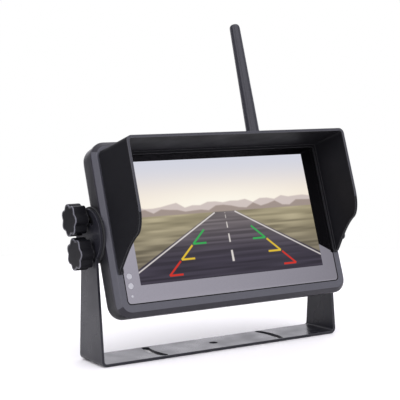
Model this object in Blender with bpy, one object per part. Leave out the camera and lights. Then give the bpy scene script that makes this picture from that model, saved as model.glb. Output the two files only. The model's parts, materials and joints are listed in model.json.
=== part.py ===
"""A 7 inch rear-view monitor with a sun hood on a bent steel U bracket.

Frame: +X is the viewer's right, +Y is away from the viewer, +Z is up and the bracket stands on
z = 0.  The monitor is built in its own frame: x to the right, y into the case and z up the
screen, with the origin on the tilt axis that runs through the two bracket discs.
"""

import math

import bmesh
import bpy
from mathutils import Matrix, Vector

MM = 0.001
GAP = 0.3 * MM  # clearance kept between neighbouring pieces

# Where the whole part sits along Y so that its footprint is centred on the frame
FRAME_SHIFT_Y = -8.22 * MM

# Tilt axis of the monitor
TILT_BACK = math.radians(18.0)
PIVOT_HEIGHT = 88.4 * MM

# U bracket, bent from one strip of sheet
SHEET = 2.0 * MM
BRACKET_WIDTH = 200.2 * MM
BASE_DEPTH = 34.2 * MM
BEND_RADIUS = 4.0 * MM
NECK_HEIGHT = 73.0 * MM
NECK_DEPTH = 22.6 * MM
DISC_RADIUS = 18.7 * MM
BASE_HOLE_RADIUS = 3.2 * MM
BASE_SLOT_RADIUS = 51.5 * MM
BASE_SLOT_HALF_ANGLE = math.radians(15.3)
SLOT_WIDTH = 5.6 * MM
TILT_SLOT_HALF_ANGLE = math.radians(30.0)
STUD_OFFSET = 11.85 * MM

# Case: half sizes in x and z, depths counted from the face of the front panel
FACE = -20.4 * MM  # y of the face of the front panel in the monitor's frame
FLAT_HALF = (93.6 * MM, 58.2 * MM)
CASE_HALF = (96.4 * MM, 61.2 * MM)
CASE_CORNER = 10.5 * MM
CHAMFER_DEPTH = 3.3 * MM
PARTING_DEPTH = 6.0 * MM
CASE_DEPTH = 29.2 * MM
WALL = 2.2 * MM
BOSS_RADIUS = 19.4 * MM
BOSS_FACE = 96.4 * MM
BOSS_ROOT = 83.0 * MM
RAMP_FOOT = 58.0 * MM

# Front panel and screen
PANEL_HALF = (88.5 * MM, 52.4 * MM)
PANEL_CORNER = 2.6 * MM
PANEL_THICK = 1.6 * MM
LEDGE_FRONT = 2.7 * MM
LEDGE_BACK = 4.2 * MM
SCREEN_HALF = (77.04 * MM, 42.96 * MM)
SCREEN_RISE = 2.5 * MM
LCD_HALF = (82.45 * MM, 50.0 * MM)
LCD_RISE = 0.5 * MM
LCD_FRONT = 4.5 * MM
LCD_BACK = 10.2 * MM

# Hood
HOOD_DEPTH = 39.0 * MM
HOOD_REAR_HALF = 93.0 * MM
HOOD_FRONT_HALF = 90.3 * MM
HOOD_REAR_TOP = 54.4 * MM
HOOD_FRONT_TOP = 53.7 * MM
HOOD_WALL = 2.0 * MM
HOOD_CORNER = 4.0 * MM
HOOD_STEPS = 7
# Lower edge of the hood's sides, as two Bezier curves of (depth in front of the panel, height)
HOOD_BLADE = (
    (0.3 * MM, -32.0 * MM),
    (6.0 * MM, -28.5 * MM),
    (18.0 * MM, -15.5 * MM),
    (30.5 * MM, -11.8 * MM),
)
HOOD_ELBOW = (
    (30.5 * MM, -11.8 * MM),
    (35.0 * MM, -10.4 * MM),
    (38.6 * MM, -4.0 * MM),
    (39.0 * MM, 6.0 * MM),
)

# Clamp knobs
KNOB_RADIUS = 11.4 * MM
KNOB_LOBES = 7
KNOB_SCALLOP = 0.17
KNOB_BORE = 2.8 * MM
KNOB_BORE_DEPTH = 7.6 * MM
KNOB_STEPS = 6 * KNOB_LOBES
KNOB_HEIGHT = 10.9 * MM
STUD_RADIUS = 2.5 * MM
WASHER_THICK = 1.0 * MM
WASHER_RADIUS = 6.8 * MM
INSERT_RADIUS = 4.0 * MM
INSERT_ENDS = (87.5 * MM, 96.2 * MM)  # distances from the middle of the case

# Antenna
JACK_X = 64.6 * MM
JACK_Z = 44.0 * MM
JACK_RADIUS = 3.1 * MM
JACK_FLANGE = 5.0 * MM
FORK_HALF = 5.6 * MM
ELBOW_DEPTH = 39.0 * MM  # depth of the whip's centre line behind the panel face
ANTENNA_LEAN = math.radians(1.3)
WHIP_TOP = 120.5 * MM
WHIP_RADII = (5.5 * MM, 4.2 * MM)
WHIP_FLUTES = 12
WHIP_STEPS = 2 * WHIP_FLUTES

# Inside
BOARD_HALF = (62.0 * MM, 38.0 * MM)
BOARD_DEPTH = 13.5 * MM
BOARD_THICK = 1.6 * MM
POST_X = 60.0 * MM
POST_Z = 54.4 * MM
RECEIVER_HALF = (17.0 * MM, 12.0 * MM)
RECEIVER_SPOT = (34.0 * MM, 14.0 * MM)
RECEIVER_BACK = 19.0 * MM
CHIP_HALF = (8.0 * MM, 8.0 * MM)
CHIP_SPOT = (-6.0 * MM, 4.0 * MM)
CHIP_BACK = 17.0 * MM
KEY_BOARD_HALF = (3.6 * MM, 26.0 * MM)
KEY_BOARD_SPOT = (-88.4 * MM, -26.0 * MM)
KEY_BOARD_DEPTHS = (4.5 * MM, 5.7 * MM)
SPEAKER_SPOT = (30.0 * MM, -38.8 * MM)
INLET_SPOT = (-46.0 * MM, -44.0 * MM)

ROUND = 28
SMALL_ROUND = 16


def clear_scene():
    for item in list(bpy.data.objects):
        bpy.data.objects.remove(item, do_unlink=True)


def material(name, colour, roughness, metallic=0.0):
    made = bpy.data.materials.new(name)
    made.use_nodes = True
    shader = made.node_tree.nodes["Principled BSDF"]
    shader.inputs["Base Color"].default_value = (*colour, 1.0)
    shader.inputs["Roughness"].default_value = roughness
    shader.inputs["Metallic"].default_value = metallic
    return made


def empty(name, parent=None, location=(0, 0, 0), rotation=(0, 0, 0)):
    made = bpy.data.objects.new(name, None)
    bpy.context.collection.objects.link(made)
    made.parent = parent
    made.location = location
    made.rotation_euler = rotation
    return made


def place(name, mesh, look, parent=None, location=(0, 0, 0), rotation=(0, 0, 0)):
    """Put a mesh into the scene as a named piece."""
    made = bpy.data.objects.new(name, mesh)
    bpy.context.collection.objects.link(made)
    made.parent = parent
    made.location = location
    made.rotation_euler = rotation
    if not mesh.materials:
        mesh.materials.append(look)
    return made


def finish(bm, name, smooth_angle=None):
    bmesh.ops.recalc_face_normals(bm, faces=bm.faces)
    mesh = bpy.data.meshes.new(name)
    bm.to_mesh(mesh)
    bm.free()
    if smooth_angle:
        for polygon in mesh.polygons:
            polygon.use_smooth = True
        mesh.set_sharp_from_angle(angle=math.radians(smooth_angle))
    return mesh


def loft(name, rings, closed=False, smooth_angle=30):
    """Skin between rings of equal length; the ends are capped unless the row is closed."""
    bm = bmesh.new()
    rows = [[bm.verts.new(point) for point in ring] for ring in rings]
    count = len(rows[0])
    pairs = list(zip(rows, rows[1:]))
    if closed:
        pairs.append((rows[-1], rows[0]))
    for first, second in pairs:
        for i in range(count):
            j = (i + 1) % count
            bm.faces.new((first[i], first[j], second[j], second[i]))
    if not closed:
        bm.faces.new(rows[0])
        bm.faces.new(rows[-1])
    return finish(bm, name, smooth_angle)


def rectangle(half, radius, depth, centre=(0.0, 0.0), steps=4):
    """A rounded rectangle in the screen's plane, at a depth behind the panel face."""
    points = []
    for quarter, (sx, sz) in enumerate(((1, 1), (-1, 1), (-1, -1), (1, -1))):
        for i in range(steps + 1):
            angle = math.radians(90 * quarter + 90 * i / steps)
            x = sx * (half[0] - radius) + radius * math.cos(angle) + centre[0]
            z = sz * (half[1] - radius) + radius * math.sin(angle) + centre[1]
            points.append((x, FACE + depth, z))
    return points


def slab(name, half, radius, front, back, centre=(0.0, 0.0), steps=3):
    rings = [rectangle(half, radius, depth, centre, steps) for depth in (front, back)]
    return loft(name, rings)


def turn(name, profile, steps=ROUND, bore=None):
    """Turn a row of (distance along +Z, radius) pairs; a bore row makes the piece hollow."""
    rings = []
    row = list(profile)
    if bore:
        row = row + list(reversed(bore))
    for along, radius in row:
        ring = []
        for i in range(steps):
            angle = 2 * math.pi * i / steps
            ring.append((radius * math.cos(angle), radius * math.sin(angle), along))
        rings.append(ring)
    return loft(name, rings, closed=bool(bore))


def blind_turn(name, outside, inside, steps=SMALL_ROUND):
    """A turned piece with a blind bore: both rows start at the open end."""
    row = list(reversed(inside)) + list(outside)
    return turn(name, row, steps)


def prism(name, outline, low, high, smooth_angle=30):
    """Raise an outline in XY from z = low to z = high."""
    rings = [[(x, y, z) for x, y in outline] for z in (low, high)]
    return loft(name, rings, smooth_angle=smooth_angle)


def arc_slot(radius, width, middle, half_angle, steps=10, end_steps=6):
    """Outline of a slot that follows an arc about the origin, with round ends."""
    points = []
    first = middle - half_angle
    last = middle + half_angle
    half = width / 2
    for i in range(steps + 1):
        angle = first + (last - first) * i / steps
        points.append(((radius + half) * math.cos(angle), (radius + half) * math.sin(angle)))
    for i in range(1, end_steps):
        angle = last + math.pi * i / end_steps
        points.append(
            (
                radius * math.cos(last) + half * math.cos(angle),
                radius * math.sin(last) + half * math.sin(angle),
            )
        )
    for i in range(steps + 1):
        angle = last + (first - last) * i / steps
        points.append(((radius - half) * math.cos(angle), (radius - half) * math.sin(angle)))
    for i in range(1, end_steps):
        angle = first + math.pi + math.pi * i / end_steps
        points.append(
            (
                radius * math.cos(first) + half * math.cos(angle),
                radius * math.sin(first) + half * math.sin(angle),
            )
        )
    return points


def circle(radius, steps=SMALL_ROUND, centre=(0.0, 0.0)):
    points = []
    for i in range(steps):
        angle = 2 * math.pi * (i + 0.5) / steps
        points.append((centre[0] + radius * math.cos(angle), centre[1] + radius * math.sin(angle)))
    return points


def moved(mesh, matrix):
    mesh.transform(matrix)
    return mesh


def along_x(side):
    """Turn a piece made along +Z to point outward on the given side."""
    return Matrix.Rotation(side * math.pi / 2, 4, "Y")


def along_y():
    """Turn a piece made along +Z to point to the rear of the case."""
    return Matrix.Rotation(-math.pi / 2, 4, "X")


def combine(target, meshes, operation):
    """Apply exact Boolean operations to an object, one tool mesh at a time."""
    for index, mesh in enumerate(meshes):
        tool = bpy.data.objects.new("tool", mesh)
        bpy.context.collection.objects.link(tool)
        tool.parent = target
        tool.hide_render = True
        tool.display_type = "WIRE"
        step = target.modifiers.new("step", "BOOLEAN")
        step.operation = operation
        step.solver = "EXACT"
        step.object = tool
        bpy.context.view_layer.update()
        graph = bpy.context.evaluated_depsgraph_get()
        result = bpy.data.meshes.new_from_object(target.evaluated_get(graph))
        target.modifiers.clear()
        target.data = result
        bpy.data.objects.remove(tool, do_unlink=True)
    clean(target.data)


def clean(mesh):
    """Join doubled points and melt flat faces left by the Boolean steps."""
    bm = bmesh.new()
    bm.from_mesh(mesh)
    bmesh.ops.remove_doubles(bm, verts=bm.verts, dist=2e-6)
    bmesh.ops.dissolve_degenerate(bm, dist=1e-6, edges=bm.edges)
    bmesh.ops.dissolve_limit(bm, angle_limit=math.radians(0.4), verts=bm.verts, edges=bm.edges)
    bmesh.ops.holes_fill(bm, edges=bm.edges, sides=4)
    bmesh.ops.triangulate(bm, faces=[face for face in bm.faces if len(face.verts) > 4])
    bmesh.ops.recalc_face_normals(bm, faces=bm.faces)
    bm.to_mesh(mesh)
    bm.free()
    for polygon in mesh.polygons:
        polygon.use_smooth = True
    mesh.set_sharp_from_angle(angle=math.radians(30))


def own_material(mesh, look):
    mesh.materials.clear()
    mesh.materials.append(look)


# ---------------------------------------------------------------- bracket


def strip_ring(x, z, outward, depth):
    """Cross section of the bent strip at a point of its outer face."""
    inner = (x - outward[0] * SHEET, z - outward[1] * SHEET)
    half = depth / 2
    return [(x, -half, z), (x, half, z), (inner[0], half, inner[1]), (inner[0], -half, inner[1])]


def bracket_mesh():
    half = BRACKET_WIDTH / 2
    rings = []
    for side in (-1, 1):
        arm = [strip_ring(side * half, NECK_HEIGHT + 4 * MM, (side, 0), NECK_DEPTH)]
        arm.append(strip_ring(side * half, NECK_HEIGHT, (side, 0), NECK_DEPTH))
        arm.append(strip_ring(side * half, BEND_RADIUS, (side, 0), BASE_DEPTH))
        for i in range(1, 6):
            angle = math.radians(15 * i)
            outward = (side * math.cos(angle), -math.sin(angle))
            x = side * (half - BEND_RADIUS) + BEND_RADIUS * outward[0]
            z = BEND_RADIUS + BEND_RADIUS * outward[1]
            arm.append(strip_ring(x, z, outward, BASE_DEPTH))
        arm.append(strip_ring(side * (half - BEND_RADIUS), 0.0, (0, -1), BASE_DEPTH))
        rings += arm if side < 0 else list(reversed(arm))
    return loft("u_bracket", rings)


def build_bracket(root):
    steel = material("bracket_paint", (0.36, 0.36, 0.39), 0.42, 0.55)
    bracket = place("u_bracket", bracket_mesh(), steel, root)
    half = BRACKET_WIDTH / 2
    discs = []
    for side in (-1, 1):
        disc = prism("disc", circle(DISC_RADIUS, 48), half - SHEET, half)
        discs.append(moved(disc, Matrix.Translation((0, 0, PIVOT_HEIGHT)) @ along_x(side)))
    combine(bracket, discs, "UNION")
    cuts = [prism("hole", circle(BASE_HOLE_RADIUS), -SHEET, 2 * SHEET)]
    for middle in (0.0, math.pi):
        outline = arc_slot(BASE_SLOT_RADIUS, SLOT_WIDTH, middle, BASE_SLOT_HALF_ANGLE)
        cuts.append(prism("slot", outline, -SHEET, 2 * SHEET))
    for side in (-1, 1):
        for middle in (0.0, math.pi):
            outline = arc_slot(STUD_OFFSET, SLOT_WIDTH, middle, TILT_SLOT_HALF_ANGLE)
            slot = prism("slot", outline, half - 2 * SHEET, half + SHEET)
            cuts.append(moved(slot, Matrix.Translation((0, 0, PIVOT_HEIGHT)) @ along_x(side)))
    combine(bracket, cuts, "DIFFERENCE")
    own_material(bracket.data, steel)


# ---------------------------------------------------------------- case


def build_bezel(monitor):
    plastic = material("bezel_plastic", (0.13, 0.13, 0.145), 0.45)
    chamfer = CASE_HALF[0] - FLAT_HALF[0]
    inside = (CASE_HALF[0] - WALL, CASE_HALF[1] - WALL)
    recess = (PANEL_HALF[0] + 0.4 * MM, PANEL_HALF[1] + 0.4 * MM)
    window = (SCREEN_HALF[0] + 1.6 * MM, SCREEN_HALF[1] + 1.6 * MM)
    rise = (0.0, SCREEN_RISE)
    rings = [
        rectangle(FLAT_HALF, CASE_CORNER - chamfer, 0.0),
        rectangle(CASE_HALF, CASE_CORNER, CHAMFER_DEPTH),
        rectangle(CASE_HALF, CASE_CORNER, PARTING_DEPTH),
        rectangle(inside, CASE_CORNER - WALL, PARTING_DEPTH),
        rectangle(inside, CASE_CORNER - WALL, LEDGE_BACK),
        rectangle(window, 1.0 * MM, LEDGE_BACK, rise),
        rectangle(window, 1.0 * MM, LEDGE_FRONT, rise),
        rectangle(recess, PANEL_CORNER + 0.3 * MM, LEDGE_FRONT),
        rectangle(recess, PANEL_CORNER + 0.3 * MM, 0.0),
    ]
    bezel = place("front_bezel", loft("front_bezel", rings, closed=True), plastic, monitor)
    posts = []
    for sx in (-1, 1):
        for sz in (-1, 1):
            profile = [(FACE + LEDGE_BACK - 0.5 * MM, 3.4 * MM), (FACE + 12.2 * MM, 3.4 * MM)]
            bore = [(FACE + LEDGE_BACK - 0.5 * MM, 1.8 * MM), (FACE + 12.2 * MM, 1.8 * MM)]
            post = turn("post", profile, SMALL_ROUND, bore)
            posts.append(moved(post, Matrix.Translation((sx * POST_X, 0, sz * POST_Z)) @ along_y()))
    combine(bezel, posts, "UNION")
    own_material(bezel.data, plastic)


def rear_shell_rings():
    """Rings of the rear cover from the middle of its inner face round to its outer face."""
    outside = (
        (0.5, 10.0, PARTING_DEPTH + GAP),
        (0.7, 10.0, 16.5 * MM),
        (1.6, 10.0, 19.6 * MM),
        (4.2, 10.0, 23.7 * MM),
        (7.6, 9.0, 27.6 * MM),
        (9.6, 8.0, CASE_DEPTH),
    )
    inside = (
        (0.5 + 2.2, 8.0, PARTING_DEPTH + GAP),
        (0.7 + 2.2, 8.0, 16.0 * MM),
        (1.6 + 2.3, 8.0, 18.9 * MM),
        (4.2 + 2.4, 8.0, 22.5 * MM),
        (7.6 + 2.5, 7.0, 25.8 * MM),
        (9.6 + 2.5, 6.0, CASE_DEPTH - WALL),
    )
    rings = []
    for inset, radius, depth in tuple(reversed(inside)) + outside:
        half = (CASE_HALF[0] - inset * MM, CASE_HALF[1] - inset * MM)
        rings.append(rectangle(half, radius * MM, depth))
    return rings


def boss_outline(front, steps):
    """Round side boss seen along the tilt axis, as (z, y) points behind a flat cut."""
    limit = math.acos(front / BOSS_RADIUS)
    points = []
    for i in range(steps + 1):
        angle = -limit + 2 * limit * i / steps
        points.append((BOSS_RADIUS * math.sin(angle), BOSS_RADIUS * math.cos(angle)))
    return points


def side_boss(side):
    rings = []
    for x in (BOSS_ROOT, BOSS_FACE):
        outline = boss_outline(FACE + PARTING_DEPTH + GAP, 24)
        rings.append([(side * x, y, z) for z, y in outline])
    return loft("boss", rings)


def boss_ramp(side):
    """Slope that carries the boss down onto the back of the cover."""
    front = FACE + CASE_DEPTH - WALL / 2
    outline = boss_outline(front, 12)
    high = [(side * (BOSS_ROOT + 1.0 * MM), y, z) for z, y in outline]
    low = [(side * RAMP_FOOT, front + 0.06 * (y - front), 0.8 * z) for z, y in outline]
    return loft("ramp", [low, high])


def build_rear_cover(monitor):
    plastic = material("rear_plastic", (0.035, 0.035, 0.04), 0.55)
    cover = place("rear_cover", loft("rear_cover", rear_shell_rings()), plastic, monitor)
    added = []
    for side in (-1, 1):
        added.append(side_boss(side))
        added.append(boss_ramp(side))
    for sx in (-1, 1):
        for sz in (-1, 1):
            tower = turn("tower", [(FACE + 12.5 * MM, 5.0 * MM), (FACE + 25.0 * MM, 5.0 * MM)], 20)
            place_at = Matrix.Translation((sx * POST_X, 0, sz * POST_Z)) @ along_y()
            added.append(moved(tower, place_at))
            start = FACE + BOARD_DEPTH + BOARD_THICK + GAP
            stand = turn("stand", [(start, 3.0 * MM), (FACE + 28.0 * MM, 3.0 * MM)], SMALL_ROUND)
            place_at = Matrix.Translation((sx * 54.0 * MM, 0, sz * 31.0 * MM)) @ along_y()
            added.append(moved(stand, place_at))
    combine(cover, added, "UNION")

    cuts = []
    for side in (-1, 1):
        for sign in (-1, 1):
            bore = prism("bore", circle(4.3 * MM), 86.0 * MM, 99.0 * MM)
            place_at = Matrix.Translation((0, 0, sign * STUD_OFFSET)) @ along_x(side)
            cuts.append(moved(bore, place_at))
    for sx in (-1, 1):
        for sz in (-1, 1):
            place_at = Matrix.Translation((sx * POST_X, 0, sz * POST_Z)) @ along_y()
            well = prism("well", circle(3.4 * MM), FACE + 16.0 * MM, FACE + 32.0 * MM)
            cuts.append(moved(well, place_at))
            hole = prism("hole", circle(1.8 * MM), FACE + 11.0 * MM, FACE + 17.0 * MM)
            cuts.append(moved(hole, place_at))
            pilot = prism("pilot", circle(1.4 * MM), FACE + 12.0 * MM, FACE + 23.0 * MM)
            place_at = Matrix.Translation((sx * 54.0 * MM, 0, sz * 31.0 * MM)) @ along_y()
            cuts.append(moved(pilot, place_at))
    for x, z, radius in ((JACK_X, JACK_Z, 3.4 * MM), (-46.0 * MM, -44.0 * MM, 4.5 * MM)):
        hole = prism("hole", circle(radius), FACE + 25.0 * MM, FACE + 32.0 * MM)
        cuts.append(moved(hole, Matrix.Translation((x, 0, z)) @ along_y()))
    for row in (-1, 1):
        for i in range(7):
            x = (i - 3) * 7.0 * MM
            z = row * 17.0 * MM + 4.0 * MM
            half = (1.3 * MM, 9.0 * MM)
            cuts.append(slab("vent", half, 1.2 * MM, 26.0 * MM, 31.0 * MM, (x, z), 1))
    for i in range(5):
        half = (9.0 * MM, 0.9 * MM)
        z = (-46.0 + 3.6 * i) * MM
        cuts.append(slab("grille", half, 0.8 * MM, 26.0 * MM, 31.0 * MM, (30.0 * MM, z), 1))
    combine(cover, cuts, "DIFFERENCE")
    own_material(cover.data, plastic)

    steel = material("screw_steel", (0.32, 0.32, 0.33), 0.35, 1.0)
    screw = blind_turn(
        "case_screw",
        [(18.6 * MM, 2.9 * MM), (16.3 * MM, 2.9 * MM), (16.3 * MM, 1.45 * MM), (5.2 * MM, 1.45 * MM)],
        [(18.6 * MM, 1.0 * MM), (17.4 * MM, 1.0 * MM)],
        16,
    )
    moved(screw, along_y())
    names = ("lower_left", "upper_left", "lower_right", "upper_right")
    spots = [(sx * POST_X, sz * POST_Z) for sx in (-1, 1) for sz in (-1, 1)]
    for name, (x, z) in zip(names, spots):
        place("case_screw_" + name, screw, steel, monitor, (x, FACE, z))


# ---------------------------------------------------------------- screen side


def build_screen(monitor):
    glass = material("panel_glass", (0.02, 0.02, 0.022), 0.08)
    foam = material("gasket_foam", (0.03, 0.03, 0.03), 0.9)
    cell = material("lcd_glass", (0.10, 0.12, 0.14), 0.15)
    tray = material("lcd_steel", (0.55, 0.56, 0.57), 0.3, 1.0)
    diffuser = material("diffuser", (0.85, 0.85, 0.82), 0.5)
    mark = material("touch_print", (0.72, 0.73, 0.75), 0.5)

    front = [
        rectangle((PANEL_HALF[0] - 0.4 * MM, PANEL_HALF[1] - 0.4 * MM), PANEL_CORNER - 0.3 * MM, 0.0),
        rectangle(PANEL_HALF, PANEL_CORNER, 0.4 * MM),
        rectangle(PANEL_HALF, PANEL_CORNER, PANEL_THICK),
    ]
    panel = place("front_panel", loft("front_panel", front), glass, monitor)
    marks = (
        ("touch_mark_upper", -33.6 * MM, 2.0 * MM),
        ("touch_mark_lower", -40.2 * MM, 2.0 * MM),
        ("indicator_window", -47.2 * MM, 0.9 * MM),
    )
    pockets = []
    for name, z, radius in marks:
        x = -84.6 * MM
        spot = Matrix.Translation((x, 0, z)) @ along_y()
        pocket = prism("pocket", circle(radius + GAP), FACE - 1.0 * MM, FACE + 0.8 * MM)
        pockets.append(moved(pocket, spot))
        disc = moved(prism(name, circle(radius), 0.0, 0.5 * MM), along_y())
        place(name, disc, mark, monitor, (x, FACE, z))
    combine(panel, pockets, "DIFFERENCE")
    own_material(panel.data, glass)

    rise = (0.0, SCREEN_RISE)
    edge = (PANEL_HALF[0] - 0.3 * MM, PANEL_HALF[1] - 0.3 * MM)
    opening = (SCREEN_HALF[0] + 2.2 * MM, SCREEN_HALF[1] + 2.2 * MM)
    gasket = [
        rectangle(edge, 2.0 * MM, PANEL_THICK + GAP),
        rectangle(edge, 2.0 * MM, LEDGE_FRONT - GAP),
        rectangle(opening, 1.0 * MM, LEDGE_FRONT - GAP, rise),
        rectangle(opening, 1.0 * MM, PANEL_THICK + GAP, rise),
    ]
    place("panel_gasket", loft("panel_gasket", gasket, closed=True), foam, monitor)

    lcd_rise = (0.0, LCD_RISE)
    inner = (LCD_HALF[0] - 1.2 * MM, LCD_HALF[1] - 1.2 * MM)
    lip = (SCREEN_HALF[0] + 1.2 * MM, SCREEN_HALF[1] + 1.2 * MM)
    frame = [
        rectangle(LCD_HALF, 1.0 * MM, LCD_FRONT, lcd_rise, 2),
        rectangle(LCD_HALF, 1.0 * MM, LCD_BACK, lcd_rise, 2),
        rectangle(inner, 0.6 * MM, LCD_BACK, lcd_rise, 2),
        rectangle(inner, 0.6 * MM, LCD_FRONT + 0.5 * MM, lcd_rise, 2),
        rectangle(lip, 0.6 * MM, LCD_FRONT + 0.5 * MM, rise, 2),
        rectangle(lip, 0.6 * MM, LCD_FRONT, rise, 2),
    ]
    place("lcd_frame", loft("lcd_frame", frame, closed=True), tray, monitor)
    layer = (inner[0] - GAP, inner[1] - GAP)
    place("lcd_cell", slab("lcd_cell", layer, 0.5 * MM, 5.3 * MM, 6.7 * MM, lcd_rise, 1), cell, monitor)
    backlight = slab("backlight_unit", layer, 0.5 * MM, 7.0 * MM, 10.0 * MM, lcd_rise, 1)
    place("backlight_unit", backlight, diffuser, monitor)


def build_electronics(monitor):
    board = material("board_green", (0.03, 0.14, 0.07), 0.5)
    can = material("shield_tin", (0.6, 0.6, 0.58), 0.3, 1.0)
    flex = material("flex_amber", (0.45, 0.24, 0.06), 0.4)
    black = material("speaker_black", (0.04, 0.04, 0.04), 0.6)
    steel = material("board_screw_steel", (0.5, 0.5, 0.5), 0.35, 1.0)
    brass = material("connector_brass", (0.68, 0.5, 0.2), 0.3, 1.0)

    back = BOARD_DEPTH + BOARD_THICK
    main = place(
        "main_board", slab("main_board", BOARD_HALF, 2.0 * MM, BOARD_DEPTH, back), board, monitor
    )
    holes = []
    fixing = blind_turn(
        "board_screw",
        [(11.6 * MM, 2.4 * MM), (13.2 * MM, 2.4 * MM), (13.2 * MM, 1.05 * MM), (20.0 * MM, 1.05 * MM)],
        [(11.6 * MM, 0.8 * MM), (12.5 * MM, 0.8 * MM)],
        12,
    )
    moved(fixing, along_y())
    names = ("lower_left", "upper_left", "lower_right", "upper_right")
    spots = [(sx * 54.0 * MM, sz * 31.0 * MM) for sx in (-1, 1) for sz in (-1, 1)]
    for name, (x, z) in zip(names, spots):
        hole = prism("hole", circle(1.4 * MM, 12), FACE + 12.0 * MM, FACE + 17.0 * MM)
        holes.append(moved(hole, Matrix.Translation((x, 0, z)) @ along_y()))
        place("board_screw_" + name, fixing, steel, monitor, (x, FACE, z))
    combine(main, holes, "DIFFERENCE")
    own_material(main.data, board)

    seat = back + GAP
    receiver = slab("receiver_module", RECEIVER_HALF, 1.0 * MM, seat, RECEIVER_BACK, RECEIVER_SPOT)
    place("receiver_module", receiver, can, monitor)
    chip = slab("video_chip", CHIP_HALF, 0.6 * MM, seat, CHIP_BACK, CHIP_SPOT)
    place("video_chip", chip, black, monitor)

    keys = slab("touch_key_board", KEY_BOARD_HALF, 0.8 * MM, *KEY_BOARD_DEPTHS, KEY_BOARD_SPOT)
    place("touch_key_board", keys, board, monitor)

    ribbon = ribbon_mesh("lcd_ribbon", 14.0 * MM, 0.25 * MM)
    place("lcd_ribbon", ribbon, flex, monitor)

    cone = blind_turn(
        "speaker",
        [(24.9 * MM, 11.5 * MM), (22.6 * MM, 11.5 * MM), (20.6 * MM, 7.0 * MM), (17.6 * MM, 7.0 * MM)],
        [(24.9 * MM, 10.2 * MM), (23.6 * MM, 6.0 * MM), (23.0 * MM, 3.0 * MM)],
        ROUND,
    )
    place("speaker", moved(cone, along_y()), black, monitor, (SPEAKER_SPOT[0], FACE, SPEAKER_SPOT[1]))

    inlet = turn(
        "power_inlet",
        [(20.0 * MM, 4.2 * MM), (29.5 * MM, 4.2 * MM), (29.5 * MM, 6.4 * MM), (31.2 * MM, 6.0 * MM)],
        ROUND,
        [(20.0 * MM, 2.8 * MM), (31.2 * MM, 2.8 * MM)],
    )
    at = (INLET_SPOT[0], FACE, INLET_SPOT[1])
    place("power_inlet", moved(inlet, along_y()), black, monitor, at)
    pin = turn(
        "power_inlet_pin",
        [(20.5 * MM, 1.0 * MM), (30.0 * MM, 1.0 * MM), (30.6 * MM, 0.5 * MM)],
        SMALL_ROUND,
    )
    place("power_inlet_pin", moved(pin, along_y()), brass, monitor, at)


def ribbon_mesh(name, half_width, thick):
    """Flat flex that leaves the foot of the screen module and folds back onto the board."""
    path = [(9.0, -50.2), (9.0, -52.0), (9.6, -53.4), (11.0, -54.0), (12.4, -53.4), (12.9, -52.0)]
    path += [(12.9, -40.0), (12.9, -34.0)]
    rings = []
    for index, (depth, z) in enumerate(path):
        before = path[max(index - 1, 0)]
        after = path[min(index + 1, len(path) - 1)]
        run = Vector((after[0] - before[0], after[1] - before[1])).normalized()
        side = Vector((-run.y, run.x)) * thick / 2
        centre = Vector((FACE + depth * MM, z * MM))
        low = centre - side
        high = centre + side
        rings.append(
            [
                (-half_width, low.x, low.y),
                (half_width, low.x, low.y),
                (half_width, high.x, high.y),
                (-half_width, high.x, high.y),
            ]
        )
    return loft(name, rings)


# ---------------------------------------------------------------- hood


def bezier(points, share):
    """Point of a cubic Bezier curve."""
    rest = 1 - share
    weights = (rest**3, 3 * rest**2 * share, 3 * rest * share**2, share**3)
    return tuple(sum(weight * point[axis] for weight, point in zip(weights, points)) for axis in (0, 1))


def hood_foot(steps):
    """The lower edge of the hood's sides, from the blade's tip at the bezel round to the front rim."""
    blade = [bezier(HOOD_BLADE, i / steps) for i in range(steps)]
    return blade + [bezier(HOOD_ELBOW, i / steps) for i in range(steps + 1)]


def hood_path(half, top, radius, foot):
    """Inverted U seen from the front, from the left foot over the top to the right foot."""
    points = [(-half, foot), (-half, foot + 6 * MM)]
    for i in range(7):
        angle = math.radians(180 - 15 * i)
        points.append((-half + radius + radius * math.cos(angle), top - radius + radius * math.sin(angle)))
    points.append((0.0, top))
    return points + [(-x, z) for x, z in reversed(points[:-1])]


def build_hood(monitor):
    plastic = material("hood_plastic", (0.045, 0.042, 0.048), 0.5)
    rings = []
    for depth, foot in hood_foot(HOOD_STEPS):
        share = depth / HOOD_DEPTH
        half = HOOD_REAR_HALF + (HOOD_FRONT_HALF - HOOD_REAR_HALF) * share
        top = HOOD_REAR_TOP + (HOOD_FRONT_TOP - HOOD_REAR_TOP) * share
        outer = hood_path(half, top, HOOD_CORNER, foot)
        inner = hood_path(half - HOOD_WALL, top - HOOD_WALL, HOOD_CORNER - HOOD_WALL, foot)
        ring = outer + list(reversed(inner))
        rings.append([(x, FACE - depth, z) for x, z in ring])
    place("sun_hood", loft("sun_hood", rings), plastic, monitor)


# ---------------------------------------------------------------- tilt clamps


def knob_ring(scale, along, steps=KNOB_STEPS):
    ring = []
    for i in range(steps):
        angle = 2 * math.pi * i / steps
        wave = 0.5 + 0.5 * math.cos(KNOB_LOBES * angle)
        radius = KNOB_RADIUS * scale * (1 - KNOB_SCALLOP * (1 - wave**0.75))
        ring.append((radius * math.cos(angle), radius * math.sin(angle), along))
    return ring


def round_ring(radius, along, steps=KNOB_STEPS):
    points = []
    for i in range(steps):
        angle = 2 * math.pi * i / steps
        points.append((radius * math.cos(angle), radius * math.sin(angle), along))
    return points


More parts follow.
